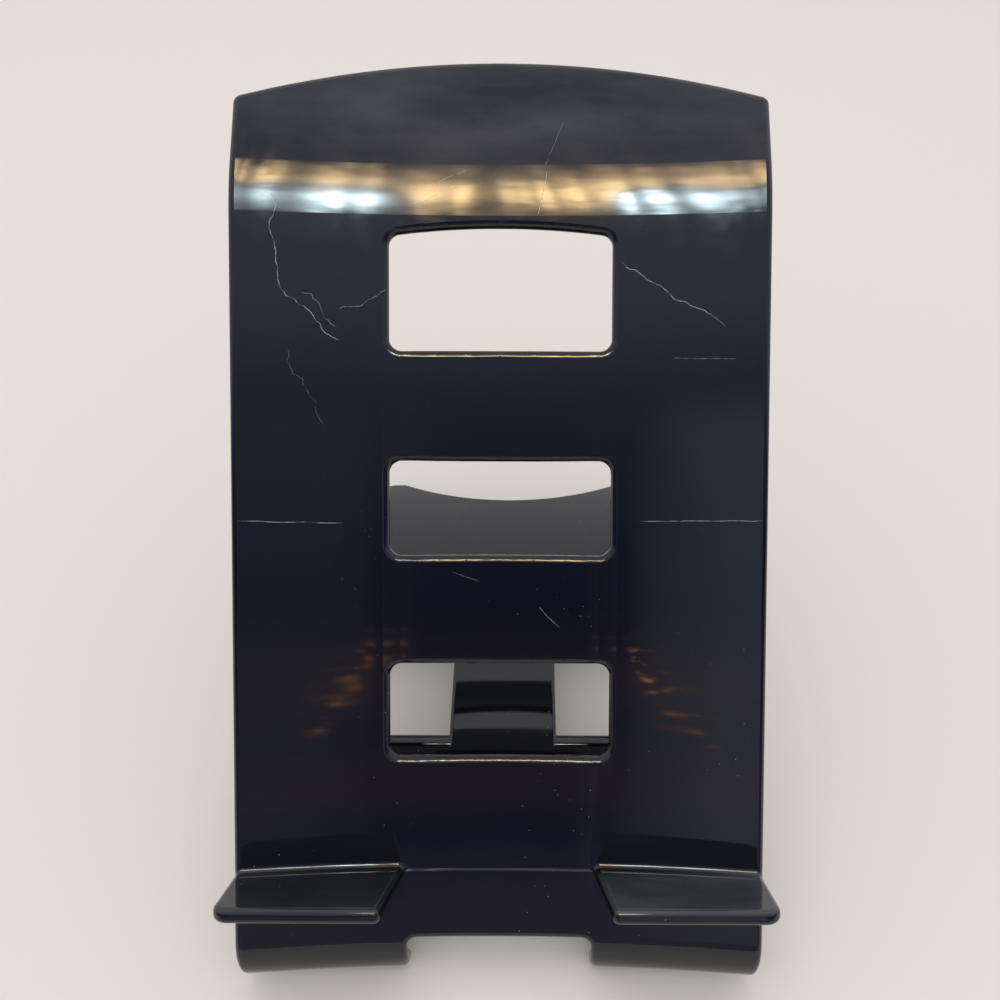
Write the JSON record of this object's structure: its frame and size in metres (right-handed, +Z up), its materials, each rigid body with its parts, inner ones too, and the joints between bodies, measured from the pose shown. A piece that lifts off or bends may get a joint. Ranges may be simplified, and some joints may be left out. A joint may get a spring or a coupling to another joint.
{
  "type": "photo album stand",
  "caption": "Black moulded stand that holds an open album on a leaning, bowed panel with windows and ledges, on curled toes and a folding arched rear leg.",
  "frame": {"origin": "on the table under the middle of the bounding box", "axes": "+X to the viewer's right, +Y to the back, +Z up; the panel faces -Y"},
  "size_m": [0.15, 0.2103, 0.1985],
  "materials": {
    "gloss_black": "high gloss with fine scratches and dust",
    "pin_steel": "plain turned steel",
    "pad_rubber": "matt"
  },
  "bodies": {
    "panel": {"front_panel": "gloss_black", "hinge_pin_left": "pin_steel", "hinge_pin_right": "pin_steel"},
    "leg": {"rear_leg": "gloss_black", "foot_pad_left": "pad_rubber", "foot_pad_right": "pad_rubber"}
  },
  "joints": [
    {"name": "leg_hinge", "type": "hinge", "parent": "panel", "child": "leg", "pos_m": [0, -0.08268, 0.01809], "axis": [1, 0, 0], "range_deg": [0, 44]}
  ]
}
